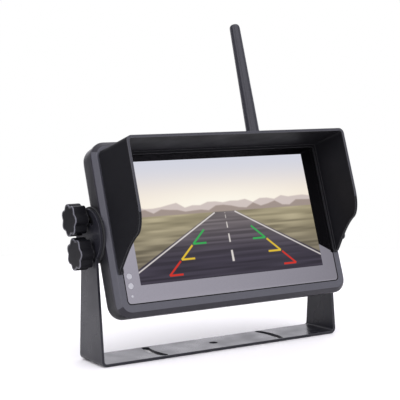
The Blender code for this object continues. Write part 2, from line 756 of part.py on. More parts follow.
def knob_mesh():
    """Lobed clamp knob with a hub, made along +Z from its seat; the stud's bore is blind."""
    rings = [
        round_ring(KNOB_BORE, KNOB_BORE_DEPTH),
        round_ring(KNOB_BORE, 0.0),
        round_ring(7.4 * MM, 0.0),
        round_ring(7.6 * MM, 0.8 * MM),
        knob_ring(0.96, 1.0 * MM),
        knob_ring(1.0, 1.6 * MM),
        knob_ring(1.0, KNOB_HEIGHT - 0.6 * MM),
        knob_ring(0.95, KNOB_HEIGHT),
    ]
    return loft("knob", rings)


def build_clamps(monitor):
    rubber = material("washer_rubber", (0.03, 0.03, 0.032), 0.85)
    black = material("knob_plastic", (0.04, 0.04, 0.045), 0.4)
    steel = material("stud_steel", (0.5, 0.5, 0.5), 0.3, 1.0)
    zinc = material("washer_zinc", (0.45, 0.46, 0.48), 0.35, 1.0)
    brass = material("insert_brass", (0.68, 0.5, 0.2), 0.35, 1.0)
    face = BRACKET_WIDTH / 2
    knob = knob_mesh()
    stud = turn(
        "stud",
        [(-13.0 * MM, 2.0 * MM), (-12.4 * MM, STUD_RADIUS), (7.2 * MM, STUD_RADIUS)],
        SMALL_ROUND,
    )
    flat = turn(
        "flat",
        [(0.0, WASHER_RADIUS), (WASHER_THICK, WASHER_RADIUS)],
        ROUND,
        [(0.0, KNOB_BORE), (WASHER_THICK, KNOB_BORE)],
    )
    bush = turn(
        "bush",
        [(INSERT_ENDS[0], INSERT_RADIUS), (INSERT_ENDS[1], INSERT_RADIUS)],
        SMALL_ROUND,
        [(INSERT_ENDS[0], KNOB_BORE), (INSERT_ENDS[1], KNOB_BORE)],
    )
    for side, side_name in ((-1, "left"), (1, "right")):
        outward = (0, side * math.pi / 2, 0)
        ring = place(
            "friction_washer_" + side_name,
            prism("friction_washer", circle(20.0 * MM, 40), BOSS_FACE + GAP, face - SHEET - GAP),
            rubber,
            monitor,
            rotation=outward,
        )
        holes = [
            prism("hole", circle(KNOB_BORE, centre=(sign * STUD_OFFSET, 0)), 90 * MM, 100 * MM)
            for sign in (-1, 1)
        ]
        combine(ring, holes, "DIFFERENCE")
        own_material(ring.data, rubber)
        for sign, level in ((1, "upper"), (-1, "lower")):
            z = sign * STUD_OFFSET
            tag = side_name + "_" + level
            seat = face + GAP
            place("threaded_insert_" + tag, bush, brass, monitor, (0, 0, z), outward)
            place("knob_washer_" + tag, flat, zinc, monitor, (side * seat, 0, z), outward)
            seat += WASHER_THICK + GAP
            place("clamp_stud_" + tag, stud, steel, monitor, (side * seat, 0, z), outward)
            place("clamp_knob_" + tag, knob, black, monitor, (side * seat, 0, z), outward)


# ---------------------------------------------------------------- antenna


def flute_ring(radius, z, depth=0.05, steps=WHIP_STEPS):
    ring = []
    for i in range(steps):
        angle = 2 * math.pi * i / steps
        reach = radius * (1 - depth * (0.5 - 0.5 * math.cos(WHIP_FLUTES * angle)))
        ring.append((reach * math.cos(angle), reach * math.sin(angle), z))
    return ring


def build_antenna(monitor):
    rubber = material("antenna_rubber", (0.09, 0.09, 0.10), 0.5)
    plastic = material("antenna_plastic", (0.05, 0.05, 0.055), 0.45)
    brass = material("jack_brass", (0.72, 0.54, 0.24), 0.28, 1.0)
    steel = material("pin_steel", (0.55, 0.55, 0.55), 0.3, 1.0)
    copper = material("element_copper", (0.7, 0.35, 0.2), 0.35, 1.0)

    jack = turn(
        "antenna_jack",
        [
            (22.0 * MM, JACK_RADIUS),
            (29.5 * MM, JACK_RADIUS),
            (29.5 * MM, JACK_FLANGE),
            (30.7 * MM, JACK_FLANGE),
            (30.7 * MM, JACK_RADIUS),
            (34.0 * MM, JACK_RADIUS),
        ],
        SMALL_ROUND,
        [(22.0 * MM, 1.2 * MM), (34.0 * MM, 1.2 * MM)],
    )
    place("antenna_jack", moved(jack, along_y()), brass, monitor, (JACK_X, FACE, JACK_Z))

    swivel = empty("antenna_swivel", monitor, (JACK_X, FACE + ELBOW_DEPTH, JACK_Z), (0, ANTENNA_LEAN, 0))
    nut = turn(
        "nut",
        [(31.0 * MM, 4.6 * MM), (34.4 * MM, 4.6 * MM)],
        24,
        [(31.0 * MM, 3.4 * MM), (34.4 * MM, 3.4 * MM)],
    )
    moved(nut, Matrix.Translation((0, -ELBOW_DEPTH, 0)) @ along_y())
    base = place("antenna_base", nut, plastic, swivel)
    lump = [rectangle_xz(FORK_HALF, FORK_HALF, 2.0 * MM, y) for y in (-4.9 * MM, 0.6 * MM)]
    lump.append(rectangle_xz(FORK_HALF, 4.6 * MM, 2.4 * MM, 3.2 * MM))
    lump.append(rectangle_xz(FORK_HALF, 2.8 * MM, 2.4 * MM, 4.8 * MM))
    combine(base, [loft("lump", lump)], "UNION")
    slot = [rectangle_xz(2.4 * MM, 9.0 * MM, 0.2 * MM, y) for y in (-3.4 * MM, 6.0 * MM)]
    bore = moved(prism("bore", circle(1.3 * MM, 16), -8 * MM, 8 * MM), along_x(1))
    combine(base, [loft("slot", slot), bore], "DIFFERENCE")
    own_material(base.data, plastic)

    pin = turn("pin", [(-5.4 * MM, 1.0 * MM), (5.4 * MM, 1.0 * MM)], 16)
    place("antenna_hinge_pin", moved(pin, along_x(1)), steel, swivel)

    tongue = moved(prism("tongue", circle(3.1 * MM, 24), -2.1 * MM, 2.1 * MM), along_x(1))
    knuckle = place("antenna_knuckle", tongue, plastic, swivel)
    stem = turn(
        "stem",
        [
            (2.0 * MM, 2.0 * MM),
            (6.0 * MM, 2.0 * MM),
            (6.6 * MM, 5.4 * MM),
            (8.4 * MM, 5.6 * MM),
            (8.4 * MM, 3.0 * MM),
            (13.0 * MM, 3.0 * MM),
        ],
        24,
    )
    combine(knuckle, [stem], "UNION")
    bore = moved(prism("bore", circle(1.3 * MM, 16), -8 * MM, 8 * MM), along_x(1))
    combine(knuckle, [bore], "DIFFERENCE")
    own_material(knuckle.data, plastic)

    foot = 8.4 * MM + GAP
    top = WHIP_TOP
    low, high = WHIP_RADII
    rings = [
        round_ring(1.9 * MM, top - 6 * MM, WHIP_STEPS),
        round_ring(1.9 * MM, 13.6 * MM, WHIP_STEPS),
        round_ring(3.3 * MM, 13.6 * MM, WHIP_STEPS),
        round_ring(3.3 * MM, foot, WHIP_STEPS),
        round_ring(low * 0.97, foot, WHIP_STEPS),
        flute_ring(low, foot + 1.5 * MM),
        flute_ring(high, top - 2.6 * MM),
        flute_ring(high * 0.84, top - 0.7 * MM, 0.03),
        round_ring(high * 0.62, top, WHIP_STEPS),
    ]
    place("antenna_whip", loft("whip", rings), rubber, swivel)
    rod = turn("rod", [(14.0 * MM, 1.5 * MM), (top - 8.0 * MM, 1.5 * MM)], 16)
    place("antenna_element", rod, copper, swivel)


def rectangle_xz(half_x, half_z, radius, y, steps=3):
    points = []
    for quarter, (sx, sz) in enumerate(((1, 1), (-1, 1), (-1, -1), (1, -1))):
        for i in range(steps + 1):
            angle = math.radians(90 * quarter + 90 * i / steps)
            x = sx * (half_x - radius) + radius * math.cos(angle)
            z = sz * (half_z - radius) + radius * math.sin(angle)
            points.append((x, y, z))
    return points


def main():
    clear_scene()
    root = empty("standing_frame", location=(0, FRAME_SHIFT_Y, 0))
    monitor = empty("monitor_frame", root, (0, 0, PIVOT_HEIGHT), (-TILT_BACK, 0, 0))
    build_bracket(root)
    build_bezel(monitor)
    build_rear_cover(monitor)
    build_screen(monitor)
    build_electronics(monitor)
    build_hood(monitor)
    build_clamps(monitor)
    build_antenna(monitor)


main()
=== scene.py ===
"""Looks for the rear-view monitor: detailed shells, surface materials, a generic screen picture, studio."""

import json
import math

import bmesh
import bpy
import numpy as np
from mathutils import Matrix, Vector


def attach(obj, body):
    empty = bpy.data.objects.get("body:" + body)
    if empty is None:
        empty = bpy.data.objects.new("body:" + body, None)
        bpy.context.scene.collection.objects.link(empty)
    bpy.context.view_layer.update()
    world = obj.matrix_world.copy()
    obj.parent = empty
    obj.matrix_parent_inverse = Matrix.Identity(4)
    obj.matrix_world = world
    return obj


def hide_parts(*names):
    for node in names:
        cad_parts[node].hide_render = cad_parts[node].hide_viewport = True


MM = 0.001
GAP = 0.3 * MM

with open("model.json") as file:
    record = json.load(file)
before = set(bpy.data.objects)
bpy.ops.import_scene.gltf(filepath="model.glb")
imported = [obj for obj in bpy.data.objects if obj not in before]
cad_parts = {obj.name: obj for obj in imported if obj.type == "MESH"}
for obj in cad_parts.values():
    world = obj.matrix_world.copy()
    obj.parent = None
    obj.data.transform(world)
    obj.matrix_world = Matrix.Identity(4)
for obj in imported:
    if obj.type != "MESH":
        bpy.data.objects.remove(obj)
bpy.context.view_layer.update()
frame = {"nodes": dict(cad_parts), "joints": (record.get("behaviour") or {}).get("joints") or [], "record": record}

# ---------------------------------------------------------------- shared dimensions

tilt_joint = next(j for j in frame["joints"] if j["name"] == "tilt")
PIVOT = Vector(tilt_joint["pos_m"])
TILT_BACK = math.radians(18.0)
MONITOR = Matrix.Translation(PIVOT) @ Matrix.Rotation(-TILT_BACK, 4, "X")

SHEET = 2.0 * MM
BRACKET_HALF = 100.1 * MM
BASE_DEPTH = 34.2 * MM
BEND_RADIUS = 4.0 * MM
NECK_HEIGHT = 73.0 * MM
NECK_DEPTH = 22.6 * MM
DISC_RADIUS = 18.7 * MM
SLOT_WIDTH = 5.6 * MM
STUD_OFFSET = 11.85 * MM
STUD_HOLE = 2.8 * MM
BASE_SLOT_RADIUS = 51.5 * MM
BASE_HOLE = 3.2 * MM

FACE = -20.4 * MM
FLAT_HALF = (93.6 * MM, 58.2 * MM)
CASE_HALF = (96.4 * MM, 61.2 * MM)
CASE_CORNER = 10.5 * MM
PARTING = 6.0 * MM
CASE_DEPTH = 29.2 * MM
WALL = 2.2 * MM
BOSS_RADIUS = 19.4 * MM
BOSS_ROOT = 83.0 * MM
BOSS_FACE = 96.4 * MM
PANEL_HALF = (88.5 * MM, 52.4 * MM)
PANEL_THICK = 1.6 * MM
SCREEN_HALF = (77.04 * MM, 42.96 * MM)
SCREEN_RISE = 2.5 * MM
JACK_SPOT = (64.6 * MM, 44 * MM)
INLET_SPOT = (-46 * MM, -44 * MM)
ELBOW_DEPTH = 39 * MM

# ---------------------------------------------------------------- materials


def linear(value):
    value = value / 255
    return value / 12.92 if value <= 0.04045 else ((value + 0.055) / 1.055) ** 2.4


def rgb(r, g, b):
    return (linear(r), linear(g), linear(b))


def surface(
    name,
    colour,
    roughness,
    metallic=0.0,
    grain=900.0,
    bump=0.15,
    spread=0.12,
    rough_spread=0.08,
    edge=0.0,
    specular=0.5,
    stretch=(1.0, 1.0, 1.0),
):
    """A procedural finish: mottled colour, uneven gloss, fine grain in the bump and lighter rounded edges, partly
    rubbed wear and partly a painted highlight.
    """
    made = bpy.data.materials.new(name)
    made.use_nodes = True
    nodes = made.node_tree.nodes
    links = made.node_tree.links
    shader = nodes["Principled BSDF"]
    shader.inputs["Metallic"].default_value = metallic
    shader.inputs["Specular IOR Level"].default_value = specular
    place = nodes.new("ShaderNodeTexCoord")
    scale = nodes.new("ShaderNodeMapping")
    scale.inputs["Scale"].default_value = stretch
    links.new(place.outputs["Object"], scale.inputs["Vector"])

    fine = nodes.new("ShaderNodeTexNoise")
    fine.inputs["Scale"].default_value = grain
    fine.inputs["Detail"].default_value = 3.0
    links.new(scale.outputs["Vector"], fine.inputs["Vector"])
    broad = nodes.new("ShaderNodeTexNoise")
    broad.inputs["Scale"].default_value = 45.0
    broad.inputs["Detail"].default_value = 2.0
    links.new(scale.outputs["Vector"], broad.inputs["Vector"])

    ramp = nodes.new("ShaderNodeValToRGB")
    low = [c * (1 - spread) for c in colour]
    high = [min(1.0, c * (1 + spread)) for c in colour]
    ramp.color_ramp.elements[0].position = 0.3
    ramp.color_ramp.elements[1].position = 0.7
    ramp.color_ramp.elements[0].color = (*low, 1)
    ramp.color_ramp.elements[1].color = (*high, 1)
    links.new(fine.outputs["Fac"], ramp.inputs["Fac"])
    final = ramp.outputs["Color"]

    if edge:
        # lighter rounded edges, partly rubbed wear and partly a painted highlight: where a rounded normal turns
        # away from the surface's own
        shape = nodes.new("ShaderNodeNewGeometry")
        soft = nodes.new("ShaderNodeBevel")
        soft.samples = 4
        soft.inputs["Radius"].default_value = 0.0006
        agree = nodes.new("ShaderNodeVectorMath")
        agree.operation = "DOT_PRODUCT"
        links.new(shape.outputs["Normal"], agree.inputs[0])
        links.new(soft.outputs["Normal"], agree.inputs[1])
        wear_and_highlight = nodes.new("ShaderNodeMapRange")
        wear_and_highlight.inputs["From Min"].default_value = 0.995
        wear_and_highlight.inputs["From Max"].default_value = 0.9
        links.new(agree.outputs["Value"], wear_and_highlight.inputs["Value"])
        mix = nodes.new("ShaderNodeMix")
        mix.data_type = "RGBA"
        mix.inputs["B"].default_value = (*[min(1.0, c + edge) for c in colour], 1)
        links.new(wear_and_highlight.outputs["Result"], mix.inputs["Factor"])
        links.new(final, mix.inputs["A"])
        final = mix.outputs["Result"]
    links.new(final, shader.inputs["Base Color"])

    gloss = nodes.new("ShaderNodeMapRange")
    gloss.inputs["From Min"].default_value = 0.3
    gloss.inputs["From Max"].default_value = 0.7
    gloss.inputs["To Min"].default_value = max(0.02, roughness - rough_spread)
    gloss.inputs["To Max"].default_value = min(1.0, roughness + rough_spread)
    links.new(broad.outputs["Fac"], gloss.inputs["Value"])
    links.new(gloss.outputs["Result"], shader.inputs["Roughness"])

    if bump:
        relief = nodes.new("ShaderNodeBump")
        relief.inputs["Strength"].default_value = bump
        relief.inputs["Distance"].default_value = 0.00012
        links.new(fine.outputs["Fac"], relief.inputs["Height"])
        links.new(relief.outputs["Normal"], shader.inputs["Normal"])
    return made


# edge sets how much lighter each finish is on its rounded edges, partly rubbed wear and partly a painted highlight
LOOKS = {
    "bracket_paint": surface("look_bracket", rgb(34, 34, 40), 0.3, grain=1400, edge=0.05, specular=0.25),
    "bezel_plastic": surface("look_bezel", rgb(64, 64, 71), 0.42, grain=1600, edge=0.03),
    "rear_plastic": surface("look_rear", rgb(28, 28, 31), 0.45, grain=1600, edge=0.03, specular=0.35),
    "hood_plastic": surface("look_hood", rgb(22, 22, 25), 0.55, grain=1600, edge=0.05, specular=0.1),
    "panel_glass": surface(
        "look_panel", rgb(133, 131, 136), 0.05, 1.0, bump=0.0, spread=0.02, rough_spread=0.01
    ),
    "gasket_foam": surface("look_foam", rgb(30, 30, 30), 0.9, bump=0.5),
    "lcd_glass": surface("look_cell", rgb(60, 66, 72), 0.2),
    "lcd_steel": surface("look_tray", rgb(190, 190, 192), 0.35, 1.0, stretch=(1, 8, 1)),
    "diffuser": surface("look_diffuser", rgb(235, 235, 230), 0.5),
    "touch_print": surface("look_print", rgb(162, 162, 166), 0.45, spread=0.03),
    "board_green": surface("look_board", rgb(24, 84, 50), 0.45),
    "shield_tin": surface("look_tin", rgb(196, 196, 190), 0.3, 1.0),
    "flex_amber": surface("look_flex", rgb(160, 104, 44), 0.35),
    "component_black": surface("look_component", rgb(32, 32, 34), 0.5, edge=0.03),
    "screw_steel": surface("look_screw", rgb(170, 170, 172), 0.35, 1.0),
    "stud_steel": surface("look_stud", rgb(175, 175, 175), 0.3, 1.0),
    "washer_zinc": surface("look_zinc", rgb(60, 60, 63), 0.35, 1.0),
    "insert_brass": surface("look_insert", rgb(200, 160, 90), 0.35, 1.0),
    "jack_brass": surface("look_jack", rgb(212, 172, 96), 0.28, 1.0),
    "washer_rubber": surface("look_washer", rgb(30, 30, 32), 0.6, bump=0.3),
    "knob_plastic": surface("look_knob", rgb(19, 19, 22), 0.36, grain=1500, edge=0.1, specular=0.1),
    "antenna_rubber": surface("look_whip", rgb(43, 43, 49), 0.4, edge=0.02, specular=0.4),
    "antenna_plastic": surface("look_elbow", rgb(40, 40, 43), 0.45, edge=0.03),
    "element_copper": surface("look_element", rgb(190, 120, 80), 0.35, 1.0),
}

# a lighter copy of the hood plastic for the hood's front rim: painted highlight
HOOD_RIM_HIGHLIGHT = surface("look_hood_rim_highlight", rgb(46, 46, 52), 0.4, grain=1600, edge=0.05, specular=0.4)
# a lighter copy of the knob plastic for the knob's top rim: painted highlight
KNOB_RIM_HIGHLIGHT = surface("look_knob_rim_highlight", rgb(84, 84, 92), 0.3, grain=1500, edge=0.1, specular=0.5)
# a darker copy of the bezel plastic for its outer side walls and top and bottom chamfers: painted shade
BEZEL_SHADED_SIDE = surface("look_bezel_shaded_side", rgb(30, 28, 36), 0.42, grain=1600, edge=0.04, specular=0.35)
# near-black for the recess wall round the panel: painted shade for the gap line
BEZEL_GAP_SHADE = surface("look_bezel_gap_shade", rgb(8, 8, 9), 0.7, specular=0.1)

for row in frame["record"]["subparts"]:
    node = frame["nodes"][row["node"]]
    node.data.materials.clear()
    node.data.materials.append(LOOKS[row["material_slot"]])

# ---------------------------------------------------------------- mesh helpers


def finish_mesh(bm, name, angle=30):
    bmesh.ops.recalc_face_normals(bm, faces=bm.faces)
    mesh = bpy.data.meshes.new(name)
    bm.to_mesh(mesh)
    bm.free()
    smooth(mesh, angle)
    return mesh


def smooth(mesh, angle=30):
    for polygon in mesh.polygons:
        polygon.use_smooth = True
    mesh.set_sharp_from_angle(angle=math.radians(angle))


def loft(name, rings, closed=False, angle=30):
    bm = bmesh.new()
    rows = [[bm.verts.new(point) for point in ring] for ring in rings]
    count = len(rows[0])
    pairs = list(zip(rows, rows[1:]))
    if closed:
        pairs.append((rows[-1], rows[0]))
    for first, second in pairs:
        for i in range(count):
            j = (i + 1) % count
            bm.faces.new((first[i], first[j], second[j], second[i]))
    if not closed:
        bm.faces.new(rows[0])
        bm.faces.new(rows[-1])
    return finish_mesh(bm, name, angle)


def rectangle(half, radius, depth, centre=(0.0, 0.0), steps=8):
    points = []
    for quarter, (sx, sz) in enumerate(((1, 1), (-1, 1), (-1, -1), (1, -1))):
        for i in range(steps + 1):
            angle = math.radians(90 * quarter + 90 * i / steps)
            x = sx * (half[0] - radius) + radius * math.cos(angle) + centre[0]
            z = sz * (half[1] - radius) + radius * math.sin(angle) + centre[1]
            points.append((x, FACE + depth, z))
    return points


def circle_ring(radius, along, steps=48):
    turn = 2 * math.pi / steps
    return [(radius * math.cos(turn * i), radius * math.sin(turn * i), along) for i in range(steps)]


def turned(name, profile, steps=48, bore=None):
    row = list(profile) + (list(reversed(bore)) if bore else [])
    return loft(name, [circle_ring(radius, along, steps) for along, radius in row], bool(bore))


def prism(name, outline, low, high):
    return loft(name, [[(x, y, z) for x, y in outline] for z in (low, high)])


def circle(radius, steps=32):
    turn = 2 * math.pi / steps
    return [(radius * math.cos(turn * i), radius * math.sin(turn * i)) for i in range(steps)]


def arc_slot(radius, middle, half_angle, steps=14, ends=8):
    first, last, half = middle - half_angle, middle + half_angle, SLOT_WIDTH / 2
    points = []
    for angle, sign in ((first, 1), (last, -1)):
        for i in range(steps + 1):
            a = angle + sign * (last - first) * i / steps
            points.append(((radius + sign * half) * math.cos(a), (radius + sign * half) * math.sin(a)))
        centre = last if sign > 0 else first
        for i in range(1, ends):
            a = centre + (0 if sign > 0 else math.pi) + math.pi * i / ends
            x = radius * math.cos(centre) + half * math.cos(a)
            y = radius * math.sin(centre) + half * math.sin(a)
            points.append((x, y))
    return points


def moved(mesh, matrix):
    mesh.transform(matrix)
    return mesh


def along_x(side):
    return Matrix.Rotation(side * math.pi / 2, 4, "Y")


def along_y():
    return Matrix.Rotation(-math.pi / 2, 4, "X")


def finished(mesh, looks, chosen):
    """Give each face the finish whose number in the list is chosen for it."""
    mesh.materials.clear()
    for look in looks:
        mesh.materials.append(look)
    for polygon in mesh.polygons:
        polygon.material_index = int(chosen(polygon))
    return mesh


def piece(name, mesh, look, body, *nodes, matrix=None):
    """A finished piece: placed in the row frame, riding on its body and standing for CAD nodes."""
    if matrix:
        mesh.transform(matrix)
    made = bpy.data.objects.new(name, mesh)
    bpy.context.scene.collection.objects.link(made)
    if not mesh.materials:
        mesh.materials.append(LOOKS[look])
    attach(made, body)
    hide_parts(*nodes)
    return made


def cut(target, tools, operation="DIFFERENCE"):
    """Exact Boolean steps on a mesh, returning a new mesh."""
    holder = bpy.data.objects.new("holder", target)
    bpy.context.scene.collection.objects.link(holder)
    for mesh in tools:
        tool = bpy.data.objects.new("tool", mesh)
        bpy.context.scene.collection.objects.link(tool)
        step = holder.modifiers.new("step", "BOOLEAN")
        step.operation, step.solver, step.object = operation, "EXACT", tool
        bpy.context.view_layer.update()
        graph = bpy.context.evaluated_depsgraph_get()
        holder.data = bpy.data.meshes.new_from_object(holder.evaluated_get(graph))
        holder.modifiers.clear()
        bpy.data.objects.remove(tool)
    result = holder.data
    bpy.data.objects.remove(holder)
    bm = bmesh.new()
    bm.from_mesh(result)
    bmesh.ops.remove_doubles(bm, verts=bm.verts, dist=2e-6)
    bmesh.ops.dissolve_limit(bm, angle_limit=math.radians(0.4), verts=bm.verts, edges=bm.edges)
    return finish_mesh(bm, target.name)


def bevel(made, width, angle=35, segments=2):
    step = made.modifiers.new("edges", "BEVEL")
    step.width = width
    step.segments = segments
    step.limit_method = "ANGLE"
    step.angle_limit = math.radians(angle)
    step.harden_normals = True
    return made


# ---------------------------------------------------------------- bracket


def strip_ring(x, z, outward, depth):
    inner = (x - outward[0] * SHEET, z - outward[1] * SHEET)
    half = depth / 2
    return [(x, -half, z), (x, half, z), (inner[0], half, inner[1]), (inner[0], -half, inner[1])]


def build_bracket():
    rings = []
    for side in (-1, 1):
        arm = [
            strip_ring(side * BRACKET_HALF, NECK_HEIGHT + 4 * MM, (side, 0), NECK_DEPTH),
            strip_ring(side * BRACKET_HALF, NECK_HEIGHT, (side, 0), NECK_DEPTH),
            strip_ring(side * BRACKET_HALF, BEND_RADIUS, (side, 0), BASE_DEPTH),
        ]
        for i in range(1, 9):
            angle = math.radians(10 * i)
            outward = (side * math.cos(angle), -math.sin(angle))
            x = side * (BRACKET_HALF - BEND_RADIUS) + BEND_RADIUS * outward[0]
            z = BEND_RADIUS + BEND_RADIUS * outward[1]
            arm.append(strip_ring(x, z, outward, BASE_DEPTH))
        arm.append(strip_ring(side * (BRACKET_HALF - BEND_RADIUS), 0.0, (0, -1), BASE_DEPTH))
        rings += arm if side < 0 else list(reversed(arm))
    mesh = loft("u_bracket_painted", rings)
    up = Matrix.Translation((0, 0, PIVOT.z))
    discs, cuts = [], [prism("hole", circle(BASE_HOLE), -SHEET, 2 * SHEET)]
    for side in (-1, 1):
        disc = prism("disc", circle(DISC_RADIUS, 96), BRACKET_HALF - SHEET, BRACKET_HALF)
        discs.append(moved(disc, up @ along_x(side)))
        for middle in (0.0, math.pi):
            slot = prism("slot", arc_slot(STUD_OFFSET, middle, math.radians(30)), 96 * MM, 102 * MM)
            cuts.append(moved(slot, up @ along_x(side)))
    for middle in (0.0, math.pi):
        outline = arc_slot(BASE_SLOT_RADIUS, middle, math.radians(15.3))
        cuts.append(prism("slot", outline, -SHEET, 2 * SHEET))
    mesh = cut(cut(mesh, discs, "UNION"), cuts)
    at = Matrix.Translation((0, PIVOT.y, 0))
    bevel(piece("bracket_strip", mesh, "bracket_paint", "bracket", "u_bracket", matrix=at), 0.35 * MM)


# ---------------------------------------------------------------- case


def build_bezel():
    inside = (CASE_HALF[0] - WALL, CASE_HALF[1] - WALL)
    recess = (PANEL_HALF[0] + 0.4 * MM, PANEL_HALF[1] + 0.4 * MM)
    window = (SCREEN_HALF[0] + 1.6 * MM, SCREEN_HALF[1] + 1.6 * MM)
    rise = (0.0, SCREEN_RISE)
    rings = [
        rectangle(FLAT_HALF, 7.7 * MM, 0.0),
        rectangle(CASE_HALF, CASE_CORNER, 3.3 * MM),
        rectangle(CASE_HALF, CASE_CORNER, PARTING),
        rectangle(inside, CASE_CORNER - WALL, PARTING),
        rectangle(inside, CASE_CORNER - WALL, 4.2 * MM),
        rectangle(window, 1.0 * MM, 4.2 * MM, rise),
        rectangle(window, 1.0 * MM, 2.7 * MM, rise),
        rectangle(recess, 2.9 * MM, 2.7 * MM),
        rectangle(recess, 2.9 * MM, 0.0),
    ]

    def finish(face):
        x, z = abs(face.center.x), abs(face.center.z)
        # outer side walls and the top and bottom chamfers take the darker copy of the bezel plastic (painted
        # shade); the left and right chamfers keep the bezel colour
        if x > CASE_HALF[0] - 0.2 * MM or z > CASE_HALF[1] - 0.2 * MM:
            return 1
        if x > FLAT_HALF[0] - 2 * MM or z > FLAT_HALF[1] - 2 * MM:
            upright = abs(face.normal.y) < 0.2
            sloped = 0.2 < abs(face.normal.y) < 0.95
            return int(upright or (sloped and abs(face.normal.z) > 0.25))
        # the recess wall round the panel takes the near-black finish: painted shade
        return 2 if abs(face.normal.y) < 0.2 and face.center.y < FACE + 2.7 * MM else 0

    mesh = finished(loft("bezel", rings, True, 20), (LOOKS["bezel_plastic"], BEZEL_SHADED_SIDE, BEZEL_GAP_SHADE), finish)
    made = piece("bezel_shell", mesh, "bezel_plastic", "monitor", "front_bezel", matrix=MONITOR)
    bevel(made, 0.45 * MM, 20, 3)


def side_boss(side, mesh_name="boss"):
    rings = []
    for x in (BOSS_ROOT, BOSS_FACE):
        front = FACE + PARTING + GAP
        limit = math.acos(front / BOSS_RADIUS)
        ring = []
        for i in range(41):
            angle = -limit + 2 * limit * i / 40
            ring.append((side * x, BOSS_RADIUS * math.cos(angle), BOSS_RADIUS * math.sin(angle)))
        rings.append(ring)
    return loft(mesh_name, rings)


def boss_ramp(side):
    front = FACE + CASE_DEPTH - WALL / 2
    limit = math.acos(front / BOSS_RADIUS)
    high, low = [], []
    for i in range(25):
        angle = -limit + 2 * limit * i / 24
        y, z = BOSS_RADIUS * math.cos(angle), BOSS_RADIUS * math.sin(angle)
        high.append((side * (BOSS_ROOT + MM), y, z))
        low.append((side * 58 * MM, front + 0.06 * (y - front), 0.8 * z))
    return loft("ramp", [low, high])


def build_rear():
    outside = (
        (0.5, 10.0, PARTING + GAP), (0.7, 10.0, 16.5 * MM), (1.0, 10.0, 18.2 * MM), (1.9, 10.0, 20.3 * MM),
        (4.2, 10.0, 23.7 * MM), (6.6, 9.4, 26.4 * MM), (8.1, 9.0, 28.1 * MM), (9.6, 8.0, CASE_DEPTH),
    )
    inside = (
        (2.7, 8.0, PARTING + GAP), (2.9, 8.0, 16.0 * MM), (3.9, 8.0, 18.9 * MM),
        (6.6, 8.0, 22.5 * MM), (10.1, 7.0, 25.8 * MM), (12.1, 6.0, CASE_DEPTH - WALL),
    )
    rings = []
    for inset, radius, depth in tuple(reversed(inside)) + outside:
        half = (CASE_HALF[0] - inset * MM, CASE_HALF[1] - inset * MM)
        rings.append(rectangle(half, radius * MM, depth))
    mesh = loft("rear_shell", rings)
    added, cuts = [], []
    for side in (-1, 1):
        added += [side_boss(side), boss_ramp(side)]
        for sign in (-1, 1):
            at = Matrix.Translation((0, 0, sign * STUD_OFFSET)) @ along_x(side)
            cuts.append(moved(prism("bore", circle(4.3 * MM), 86 * MM, 99 * MM), at))
    for sx in (-1, 1):
        for sz in (-1, 1):
            at = Matrix.Translation((sx * 60 * MM, 0, sz * 54.4 * MM)) @ along_y()
            added.append(moved(prism("tower", circle(5.0 * MM), FACE + 12.5 * MM, FACE + 25 * MM), at))
            cuts.append(moved(prism("well", circle(3.4 * MM), FACE + 16 * MM, FACE + 32 * MM), at))
            cuts.append(moved(prism("hole", circle(1.8 * MM), FACE + 11 * MM, FACE + 17 * MM), at))
            stand = Matrix.Translation((sx * 54 * MM, 0, sz * 31 * MM)) @ along_y()
            added.append(moved(prism("stand", circle(3.0 * MM), FACE + 15.4 * MM, FACE + 28 * MM), stand))
            cuts.append(moved(prism("pilot", circle(1.4 * MM), FACE + 12 * MM, FACE + 23 * MM), stand))
    for (x, z), radius in ((JACK_SPOT, 3.4 * MM), (INLET_SPOT, 4.5 * MM)):
        at = Matrix.Translation((x, 0, z)) @ along_y()
        cuts.append(moved(prism("hole", circle(radius), FACE + 25 * MM, FACE + 32 * MM), at))
    for row in (-1, 1):
        for i in range(7):
            centre = ((i - 3) * 7 * MM, row * 17 * MM + 4 * MM)
            rings = [rectangle((1.3 * MM, 9 * MM), 1.2 * MM, d, centre, 4) for d in (26 * MM, 31 * MM)]
            cuts.append(loft("vent", rings))
    for i in range(5):
        centre = (30 * MM, (-46 + 3.6 * i) * MM)
        rings = [rectangle((9 * MM, 0.9 * MM), 0.8 * MM, d, centre, 4) for d in (26 * MM, 31 * MM)]
        cuts.append(loft("grille", rings))
    mesh = cut(cut(mesh, added, "UNION"), cuts)
    made = piece("rear_shell", mesh, "rear_plastic", "monitor", "rear_cover", matrix=MONITOR)
    bevel(made, 0.3 * MM, 35, 2)


def build_panel():
    rings = [
        rectangle((PANEL_HALF[0] - 0.35 * MM, PANEL_HALF[1] - 0.35 * MM), 2.3 * MM, 0.0),
        rectangle((PANEL_HALF[0] - 0.1 * MM, PANEL_HALF[1] - 0.1 * MM), 2.5 * MM, 0.1 * MM),
        rectangle(PANEL_HALF, 2.6 * MM, 0.35 * MM),
        rectangle(PANEL_HALF, 2.6 * MM, PANEL_THICK),
    ]
    mesh = loft("panel", rings)
    cuts = []
    for z, radius in ((-33.6 * MM, 2.0 * MM), (-40.2 * MM, 2.0 * MM), (-47.2 * MM, 0.9 * MM)):
        at = Matrix.Translation((-84.6 * MM, 0, z)) @ along_y()
        cuts.append(moved(prism("pocket", circle(radius + 0.05 * MM, 40), FACE - MM, FACE + 0.8 * MM), at))
    piece("panel_glass", cut(mesh, cuts), "panel_glass", "monitor", "front_panel", matrix=MONITOR)


# ---------------------------------------------------------------- hood

HOOD_DEPTH = 38.9 * MM
HOOD_STEPS = 14
HOOD_BLADE = ((0.3, -32.0), (6.0, -28.5), (18.0, -15.5), (30.5, -11.8))
HOOD_ELBOW = ((30.5, -11.8), (35.0, -10.4), (38.5, -4.0), (38.9, 6.0))


